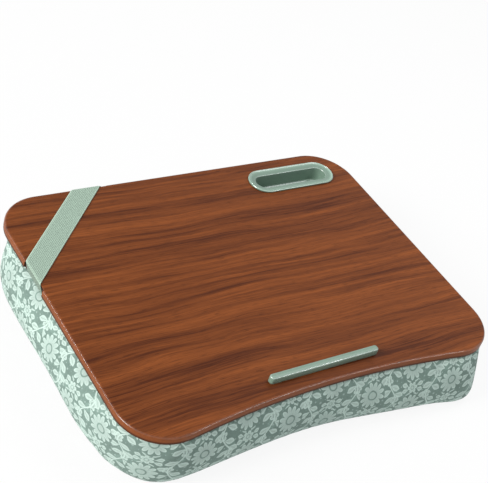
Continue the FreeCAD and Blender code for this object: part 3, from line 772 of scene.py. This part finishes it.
def cover_profile(sizes, top, rows):
    """Insets, heights and lengths from the hem's inner edge, round the side and on to the base, evenly spaced."""
    upper_round, lower_round, base_rim = 2 / 2.1, 2 / 2.6, 0.006
    turns = np.linspace(QUARTER, 0.0, 40)
    swell, rise = np.cos(turns) ** upper_round, np.sin(turns) ** upper_round
    low_swell, low_rise = np.cos(turns[::-1]) ** lower_round, np.sin(turns[::-1]) ** lower_round
    inset = np.concatenate([
        [sizes.neck + sizes.hem], sizes.neck - (sizes.bulge + sizes.neck) * swell,
        (sizes.base_inset - (sizes.bulge + sizes.base_inset) * low_swell)[1:], [sizes.base_inset + base_rim]])
    height = np.concatenate([
        [top], sizes.belly + (top - sizes.belly) * rise, (sizes.belly - sizes.belly * low_rise)[1:], [0.0]])
    along = np.concatenate([[0.0], np.cumsum(np.hypot(np.diff(inset), np.diff(height)))])
    even = np.linspace(0.0, along[-1], rows)
    return np.interp(even, along, inset), np.interp(even, along, height), even


def lump_reach(points, lumps):
    """How far lumps of filling, each with a place, a width and a reach, push out each point of the outline."""
    out = np.zeros(len(points))
    for x, y, width, reach in lumps:
        out += reach * np.exp(-((points[:, 0] - x) ** 2 + (points[:, 1] - y) ** 2) / width ** 2)
    return out


def filling_lumps(sizes, points, rise):
    """How much further the filling pushes the cover out, by level and place.

    Full lumps fade towards the board, tucked ones reach up to it, and sagging ones lie low.
    """
    left, right, front, back = BOARD_LOW.x, BOARD_HIGH.x, BOARD_LOW.y, BOARD_HIGH.y
    full = lump_reach(points, (
        (left + 0.008, front + 0.022, 0.042, sizes.front_left_lump), (left, front / 4, 0.080, sizes.left_lump),
        (-0.005, front + 0.013, 0.050, sizes.front_lump)))
    tucked = lump_reach(points, (
        (left, back, 0.045, sizes.back_left_lump), (right, front + 0.039, 0.034, sizes.right_lump),
        (right + 0.013, front + 0.104, 0.055, 0.8 * sizes.right_lump),
        (right + 0.013, 0.0, 0.060, 0.4 * sizes.right_lump)))
    sagging = lump_reach(points, (
        (0.100, front, 0.075, sizes.front_right_lump), (right - 0.024, front, 0.026, sizes.right_corner_lump)))
    base_share, more_above, free_rise = 0.55, 0.45, 0.22
    off_base = np.clip(rise / free_rise, 0.0, 1.0)
    off_base = base_share + more_above * off_base * (2 - off_base)
    return off_base[:, None] * ((1 - rise ** 2)[:, None] * full[None] + (1 - rise ** 12)[:, None] * tucked[None]
                                + ((1 - rise) ** 2)[:, None] * sagging[None])


def cover_grid(sizes, top, rows, count):
    """The unsettled cover as rows of points: the base is turned a little against the board."""
    ring = board_outline(sizes, count)
    inset, height, lengths = cover_profile(sizes, top, rows)
    reach = filling_lumps(sizes, ring.points, height / top) - inset[:, None]
    flat = ring.points[None] + reach[:, :, None] * ring.facing[None]
    turn = sizes.twist * (1 - height / top)
    cos, sin = np.cos(turn)[:, None], np.sin(turn)[:, None]
    x = flat[:, :, 0] * cos - flat[:, :, 1] * sin
    y = flat[:, :, 0] * sin + flat[:, :, 1] * cos
    grid = np.stack([x, y, np.broadcast_to(height[:, None], x.shape)], axis=2)
    return grid, ring, lengths


def make_cover(sizes, material):
    """The cushion's cover: hem, swelling side band and base, settled as cloth over the filling."""
    count, rows, rings = 520, 45, 9
    top = BOARD_LOW.z
    grid, ring, lengths = cover_grid(sizes, top, rows, count)
    seam_row = rows // 2 + int(np.argmin(np.abs(grid[rows // 2:, 0, 2] - sizes.seam)))
    neck_row = int(np.argmin(np.abs(lengths - sizes.hem)))
    coarse, _, _ = cover_grid(sizes, top, rows // 2 + 1, count // 2)
    held = np.zeros(len(coarse))
    held[:neck_row // 2 + 1] = 1.0
    held[-2:] = 1.0
    held[-3] = 0.5
    grid = grid + refined(settle_cloth(coarse, held, sizes.settle))
    gather_depth, pucker_depth, seam_depth = 0.0006, 0.00012, 0.0005
    gather_rows, pucker_rows, seam_rows, seed = 4.0, 3.0, 0.8, 11
    chance = np.random.default_rng(seed)
    gather = smooth_chance(chance, ring.places, ring.total, range(38, 96, 6))
    pucker = smooth_chance(chance, ring.places, ring.total, range(60, 130, 9))
    level = np.arange(rows)[:, None]
    push = gather_depth * gather * np.exp(-((level - neck_row - 3) / gather_rows) ** 2)
    push = push + pucker_depth * pucker * np.exp(-((level - seam_row + 2) / pucker_rows) ** 2)
    push[:neck_row + 1] = 0.0
    push = push - seam_depth * np.exp(-((level - seam_row) / seam_rows) ** 2)
    grid[:, :, :2] += push[:, :, None] * ring.facing[None]
    grid[:, :, 2] = np.clip(grid[:, :, 2], 0.0, top)
    last, base_cover, base_shift = grid[-1], 0.96, (0.013, 0.009)
    inner = [at_level(last[:, :2] * (1 - base_cover * k / rings), 0.0) for k in range(1, rings + 1)]
    vertices = np.concatenate([grid.reshape(-1, 3), *inner])
    total_rows = rows + rings
    cap = tuple((total_rows - 1) * count + i for i in range(count))
    faces = band_faces(total_rows, count) + [cap[::-1]]
    uv = []
    for face in faces[:seam_row * count]:
        for corner in face:
            row, i = divmod(corner, count)
            place = ring.places[i]
            if i == 0 and any(other % count == count - 1 for other in face):
                place = ring.total
            uv.append((place, lengths[row]))
    for face in faces[seam_row * count:]:
        uv += [(vertices[corner, 0] + base_shift[0], vertices[corner, 1] + base_shift[1]) for corner in face]
    cover = new_piece("cushion_cover", vertices, faces, material, uv)
    skin = cover.modifiers.new("skin", "SOLIDIFY")
    skin.thickness = sizes.fabric / 2
    skin.offset = -1
    apply_modifiers(cover)
    return cover


def make_lining(sizes, material):
    """Plain panel over the filling, with an opening for the phone slot's cup."""
    low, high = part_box("cover_top")
    middle, half_x, half_y = seen_from_above(*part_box("phone_holder"))
    cup_room = 0.0041
    ring = board_outline(sizes, 160)
    edge = ring.points - (sizes.neck + sizes.hem) * ring.facing
    opening = round_slot(middle, half_x - half_y, half_y - sizes.flange + cup_room, 24)
    curve = bpy.data.curves.new("cushion_lining", "CURVE")
    curve.dimensions = "2D"
    curve.fill_mode = "BOTH"
    curve.extrude = (high.z - low.z) / 2
    for loop in (edge, opening):
        spline = curve.splines.new("POLY")
        spline.points.add(len(loop) - 1)
        for point, (x, y) in zip(spline.points, loop):
            point.co = (x, y, 0.0, 1.0)
        spline.use_cyclic_u = True
    shaped = add_object("lining_curve", curve)
    bpy.context.view_layer.update()
    mesh = bpy.data.meshes.new_from_object(shaped.evaluated_get(bpy.context.evaluated_depsgraph_get()))
    bpy.data.objects.remove(shaped)
    mesh.name = "cushion_lining"
    mesh.transform(Matrix.Translation((0.0, 0.0, (low.z + high.z) / 2)))
    mesh.materials.clear()
    mesh.materials.append(material)
    area = sum(face.area for face in mesh.polygons if face.normal.z > 0.5)
    return add_object("cushion_lining", mesh), area


def ring_loft(name, rings, material):
    """A closed form through rings of equal count, capped at both ends, facing away from the ring's middle."""
    count = len(rings[0])
    vertices = np.concatenate(rings)
    first = tuple(range(count))
    last = tuple((len(rings) - 1) * count + i for i in range(count))
    faces = [face[::-1] for face in band_faces(len(rings), count)] + [first[::-1], last]
    return new_piece(name, vertices, faces, material)


def rounded_bar(half_x, half_y, radius, steps=14):
    """A rectangle with round corners, corner by corner."""
    points = []
    for corner, (side_x, side_y) in enumerate(((1, 1), (-1, 1), (-1, -1), (1, -1))):
        turns = np.linspace(corner * QUARTER, (corner + 1) * QUARTER, steps)
        centre = np.array([side_x * (half_x - radius), side_y * (half_y - radius)])
        points.append(centre + radius * np.column_stack([np.cos(turns), np.sin(turns)]))
    return np.concatenate(points)


def make_ledge(sizes, material):
    """Device ledge: a bar with round ends and a soft, slightly crowned top."""
    low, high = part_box("device_ledge")
    middle, half_x, half_y = seen_from_above(low, high)
    soft = sizes.ledge_edge
    crown, foot, least_radius = 0.0003, 0.001, 0.0001
    profile = [(0.0, low.z), (0.0, low.z + foot)]
    profile += [(inward, high.z - crown - down) for inward, down in rounding(soft, 0.0, 9)]
    for part in (0.35, 0.7, 0.95):
        profile.append((soft + (half_y - soft) * part, high.z - crown * (1 - part) ** 2))
    rings = []
    for inset, level in profile:
        bar = rounded_bar(half_x - inset, half_y - inset, max(sizes.ledge_end - inset, least_radius)) + middle
        rings.append(at_level(bar, level))
    return ring_loft("ledge_bar", rings, material)


def make_phone_slot(sizes, material):
    """Phone slot: a raised rim round a dished flange, and a deep cup with a rounded floor."""
    low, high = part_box("phone_holder")
    middle, half_x, outer = seen_from_above(low, high)
    mouth = outer - sizes.flange
    wall = mouth + sizes.slot_wall
    floor = low.z + sizes.slot_wall
    dish_depth, dish_edge, dish_inside, dish_outside = 0.0018, 0.0030, 0.0004, 0.0011
    core, corner, lip, round_rim, rim_slope, foot = 0.0004, 0.003, 0.0009, 0.0011, 0.0004, 0.001
    dish = high.z - dish_depth
    profile = [(core, floor), (mouth - corner, floor)]
    profile += [(mouth - inward, floor + up) for up, inward in rounding(corner, 0.2, 6)]
    profile += [(mouth, dish - 3 * lip)]
    profile += [(mouth + outward, dish - down) for outward, down in rounding(lip, 0.0, 6)]
    profile += [(mouth + dish_edge, dish + dish_inside), (outer - dish_edge, dish + dish_outside)]
    for turn in np.linspace(2.4, 0.0, 11):
        inward = round_rim * (1 - math.cos(turn)) if turn < QUARTER else round_rim + rim_slope * (turn - QUARTER)
        profile.append((outer - inward, high.z - round_rim * (1 - math.sin(turn))))
    profile += [(outer, BOARD_HIGH.z), (wall, BOARD_HIGH.z), (wall, low.z + foot), (wall - foot, low.z),
                (core, low.z)]
    rings = [at_level(round_slot(middle, half_x - outer, radius, 40), level) for radius, level in profile]
    return ring_loft("phone_slot", rings[::-1], material)


def turn_over(reach, height, radius, drop, top):
    """Fold a flat strip over an edge: how far a point lies past the fold and how high it comes to be."""
    quarter = radius * QUARTER
    straight = drop - 2 * radius
    q = reach + radius
    bend = np.clip(q / radius, 0.0, QUARTER)
    second = np.clip((q - quarter - straight) / radius, 0.0, QUARTER)
    down = np.clip(q - quarter, 0.0, straight)
    back = np.maximum(q - 2 * quarter - straight, 0.0)
    out = np.minimum(q, 0.0) - radius
    out = out + (radius + height) * np.sin(bend + second) - back
    level = top - radius + (radius + height) * np.cos(bend + second) - down
    return out, level


def strap_line(sizes):
    """Where the strap's middle crosses the left edge, its back edge and the length of its run on the board."""
    half = sizes.strap_thickness / 2
    left_x = BOARD_LOW.x + sizes.notch - half
    back_y = BOARD_HIGH.y - sizes.notch + half
    left_y = left_x + BOARD_HIGH.y - sizes.strap_corner + BOARD_HIGH.x
    return left_x, left_y, back_y, (back_y - left_y) * DIAGONAL


def make_strap(sizes, material):
    """Ribbed elastic: a run across the back left corner, folded over both edges, with tails under the board."""
    half = sizes.strap_thickness / 2
    wide = sizes.strap_width / 2
    top = BOARD_HIGH.z + half
    bottom = BOARD_LOW.z + sizes.wire + half
    drop = top - bottom
    left_x, left_y, back_y, run = strap_line(sizes)
    past = drop * DIAGONAL + sizes.strap_tail
    fold_room, station_step, groove, rib_steps, rib_round, edge_round = 0.0004, 0.0008, 0.0003, 8, 0.7, 14
    radius = half + fold_room
    stations = np.arange(-past, run + past, station_step)
    columns = sizes.strap_ribs * rib_steps
    across = np.linspace(-wide, wide, columns + 1)
    rib = np.abs(np.cos(across / sizes.strap_width * math.pi * sizes.strap_ribs)) ** rib_round
    crest = half - groove * (1 - rib)
    rim = np.sqrt(np.clip(1 - (np.abs(across) / wide) ** edge_round, 0.0, 1.0))
    w = np.concatenate([across, across[::-1][1:-1]])
    h = np.concatenate([crest * rim, (-crest * rim)[::-1][1:-1]])
    s_grid, w_grid = np.meshgrid(stations, w, indexing="ij")
    h_grid = np.broadcast_to(h, s_grid.shape)
    flat_x = left_x + (s_grid - w_grid) / DIAGONAL
    flat_y = left_y + (s_grid + w_grid) / DIAGONAL
    left_out, left_z = turn_over(left_x - flat_x, h_grid, radius, drop, top)
    back_out, back_z = turn_over(flat_y - back_y, h_grid, radius, drop, top)
    at_left = s_grid < run / 2
    vertices = np.stack([
        np.where(at_left, left_x - left_out, flat_x), np.where(at_left, flat_y, back_y + back_out),
        np.where(at_left, left_z, back_z)], axis=-1).reshape(-1, 3)
    around, faces, uv = len(w), [], []
    for row in range(len(stations) - 1):
        for i in range(around):
            j = (i + 1) % around
            faces.append((row * around + i, (row + 1) * around + i, (row + 1) * around + j, row * around + j))
            uv += [(stations[row], w[i]), (stations[row + 1], w[i]), (stations[row + 1], w[j]), (stations[row], w[j])]
    first = tuple(range(around))
    final = tuple((len(stations) - 1) * around + i for i in range(around))[::-1]
    faces += [first, final]
    uv += [(stations[0], w[i]) for i in range(around)] + [(stations[-1], w[i]) for i in range(around)][::-1]
    return new_piece("strap_web", vertices, faces, material, uv)


def make_floor(stage):
    """A wide pale floor that the camera sees as near white, with the shadow kept."""
    reach, whiteness = 6.0, 0.90
    mesh = bpy.data.meshes.new("floor")
    mesh.from_pydata([(-reach, -reach, 0.0), (reach, -reach, 0.0), (reach, reach, 0.0), (-reach, reach, 0.0)],
                     [], [(0, 1, 2, 3)])
    material, tree, shader = new_material("pale_floor", roughness=0.9, specular_ior_level=0.1)
    shader.inputs["Base Color"].default_value = (*stage.floor, 1.0)
    glow = put_node(tree, "ShaderNodeEmission", {"Color": (1.0, 1.0, 1.0, 1.0), "Strength": 1.0})
    both = put_node(tree, "ShaderNodeMixShader")
    feed(tree, both.inputs[0], seen_rays(tree) * whiteness)
    feed(tree, both.inputs[1], shader.outputs[0])
    feed(tree, both.inputs[2], glow.outputs[0])
    feed(tree, tree.nodes["Material Output"].inputs["Surface"], both.outputs[0])
    mesh.materials.append(material)
    floor = add_object("floor", mesh)


def make_world():
    """Even studio light, white where the camera or a reflection sees it."""
    world = bpy.data.worlds.new("studio")
    bpy.context.scene.world = world
    world.use_nodes = True
    tree = world.node_tree
    ground = tree.nodes["Background"]
    ground.inputs["Color"].default_value = (0.96, 0.98, 1.0, 1.0)
    light, more_seen = 0.37, 0.63
    feed(tree, ground.inputs["Strength"], seen_rays(tree) * more_seen + light)


def add_lamp(name, place, aim, size, power, tint):
    lamp = bpy.data.lights.new(name, "AREA")
    lamp.shape = "DISK"
    lamp.size = size
    lamp.energy = power
    lamp.color = tint
    holder = add_object(name, lamp)
    holder.location = place
    holder.rotation_euler = (Vector(aim) - Vector(place)).to_track_quat("-Z", "Y").to_euler()


def make_camera(stage):
    """The camera at the photograph's place, turned by azimuth, elevation and roll."""
    data = bpy.data.cameras.new("camera")
    data.lens = stage.lens
    data.sensor_width = 36.0
    data.sensor_fit = "HORIZONTAL"
    data.clip_end = 50.0
    data.dof.use_dof = False
    a, e, r = stage.azimuth, stage.elevation, stage.roll
    back = Vector((math.sin(a) * math.cos(e), -math.cos(a) * math.cos(e), math.sin(e)))
    level = Vector((math.cos(a), math.sin(a), 0.0))
    upright = back.cross(level)
    right = level * math.cos(r) + upright * math.sin(r)
    up = upright * math.cos(r) - level * math.sin(r)
    turn = Matrix((right, up, back)).transposed().to_4x4()
    camera = add_object("camera", data)
    camera.matrix_world = Matrix.Translation(stage.eye) @ turn
    bpy.context.scene.camera = camera


# Operators, one for each piece or group of like pieces

class TRAY_OT_groups(bpy.types.Operator):
    """Make the shader groups that the finishes share"""

    bl_idname = "tray.groups"
    bl_label = "Shader groups"

    def execute(self, context):
        make_speckle_group()
        make_weave_group()
        make_print_group()
        return {"FINISHED"}


class TRAY_OT_board(bpy.types.Operator):
    """Finish the board: wood-look film over fibreboard"""

    bl_idname = "tray.board"
    bl_label = "Board"

    def execute(self, context):
        dress(["walnut_foil"], walnut_finish(context.scene.tray_colours))
        dress(["board_core"], fibre_finish(context.scene.tray_colours))
        return {"FINISHED"}


class TRAY_OT_mouldings(bpy.types.Operator):
    """Make the moulded ledge and phone slot"""

    bl_idname = "tray.mouldings"
    bl_label = "Ledge and phone slot"

    def execute(self, context):
        sizes, colours = context.scene.tray_sizes, context.scene.tray_colours
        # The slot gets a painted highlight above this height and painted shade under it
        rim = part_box("phone_holder")[1].z - RIM_HIGHLIGHT_HEIGHT
        ledge = make_ledge(sizes, plastic_finish(colours, "sage_moulding"))
        slot = make_phone_slot(sizes, plastic_finish(colours, "sage_slot_moulding", rim))
        for piece, node in ((ledge, "device_ledge"), (slot, "phone_holder")):
            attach(piece, BODY)
            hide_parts(node)
        return {"FINISHED"}


class TRAY_OT_fasteners(bpy.types.Operator):
    """Finish the screws and staples"""

    bl_idname = "tray.fasteners"
    bl_label = "Screws and staples"

    def execute(self, context):
        fasteners = ["ledge_screws", "strap_staples", "cover_staples"]
        dress(fasteners, steel_finish(context.scene.tray_colours))
        return {"FINISHED"}


class TRAY_OT_strap(bpy.types.Operator):
    """Make the ribbed elastic strap"""

    bl_idname = "tray.strap"
    bl_label = "Elastic strap"

    def execute(self, context):
        sizes, colours = context.scene.tray_sizes, context.scene.tray_colours
        strap = make_strap(sizes, elastic_finish(colours, sizes, strap_line(sizes)[-1]))
        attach(strap, BODY)
        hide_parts("elastic_strap")
        return {"FINISHED"}


class TRAY_OT_cushion(bpy.types.Operator):
    """Make the cushion's cover and its lining"""

    bl_idname = "tray.cushion"
    bl_label = "Cushion"

    def execute(self, context):
        sizes, colours = context.scene.tray_sizes, context.scene.tray_colours
        cover = make_cover(sizes, print_finish(colours))
        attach(cover, BODY)
        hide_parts("cover_boxing", "cover_bottom", "cushion_fill")
        lining, area = make_lining(sizes, lining_finish(colours))
        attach(lining, BODY)
        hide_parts("cover_top")
        return {"FINISHED"}


class TRAY_OT_stage(bpy.types.Operator):
    """Set up the floor, the light and the camera"""

    bl_idname = "tray.stage"
    bl_label = "Stage"

    def execute(self, context):
        stage = context.scene.tray_stage
        make_floor(stage)
        make_world()
        for lamp in LAMPS:
            add_lamp(*lamp)
        make_camera(stage)
        context.scene.view_settings.view_transform = "Standard"
        return {"FINISHED"}


class TRAY_PT_panel(bpy.types.Panel):
    """Lists the pieces of the tray and their sizes"""

    bl_idname = "TRAY_PT_panel"
    bl_label = "Lap tray"
    bl_space_type = "VIEW_3D"
    bl_region_type = "UI"
    bl_category = "Lap tray"

    def draw(self, context):
        for operator in OPERATORS:
            self.layout.operator(operator.bl_idname)
        for values in (context.scene.tray_sizes, context.scene.tray_colours, context.scene.tray_stage):
            box = self.layout.box()
            for name in values.__annotations__:
                box.prop(values, name)


OPERATORS = (TRAY_OT_groups, TRAY_OT_board, TRAY_OT_mouldings, TRAY_OT_fasteners, TRAY_OT_strap, TRAY_OT_cushion,
             TRAY_OT_stage)
SETTINGS = {"tray_sizes": TraySizes, "tray_colours": TrayColours, "tray_stage": TrayStage}


def register():
    for kind in (*SETTINGS.values(), *OPERATORS, TRAY_PT_panel):
        bpy.utils.register_class(kind)
    for name, kind in SETTINGS.items():
        setattr(bpy.types.Scene, name, PointerProperty(type=kind))


def unregister():
    for name in SETTINGS:
        delattr(bpy.types.Scene, name)
    for kind in (TRAY_PT_panel, *reversed(OPERATORS), *SETTINGS.values()):
        bpy.utils.unregister_class(kind)


def main():
    """Build every piece."""
    register()
    for operator in OPERATORS:
        getattr(bpy.ops.tray, operator.bl_idname.split(".")[1])()


if __name__ == "__main__":
    main()
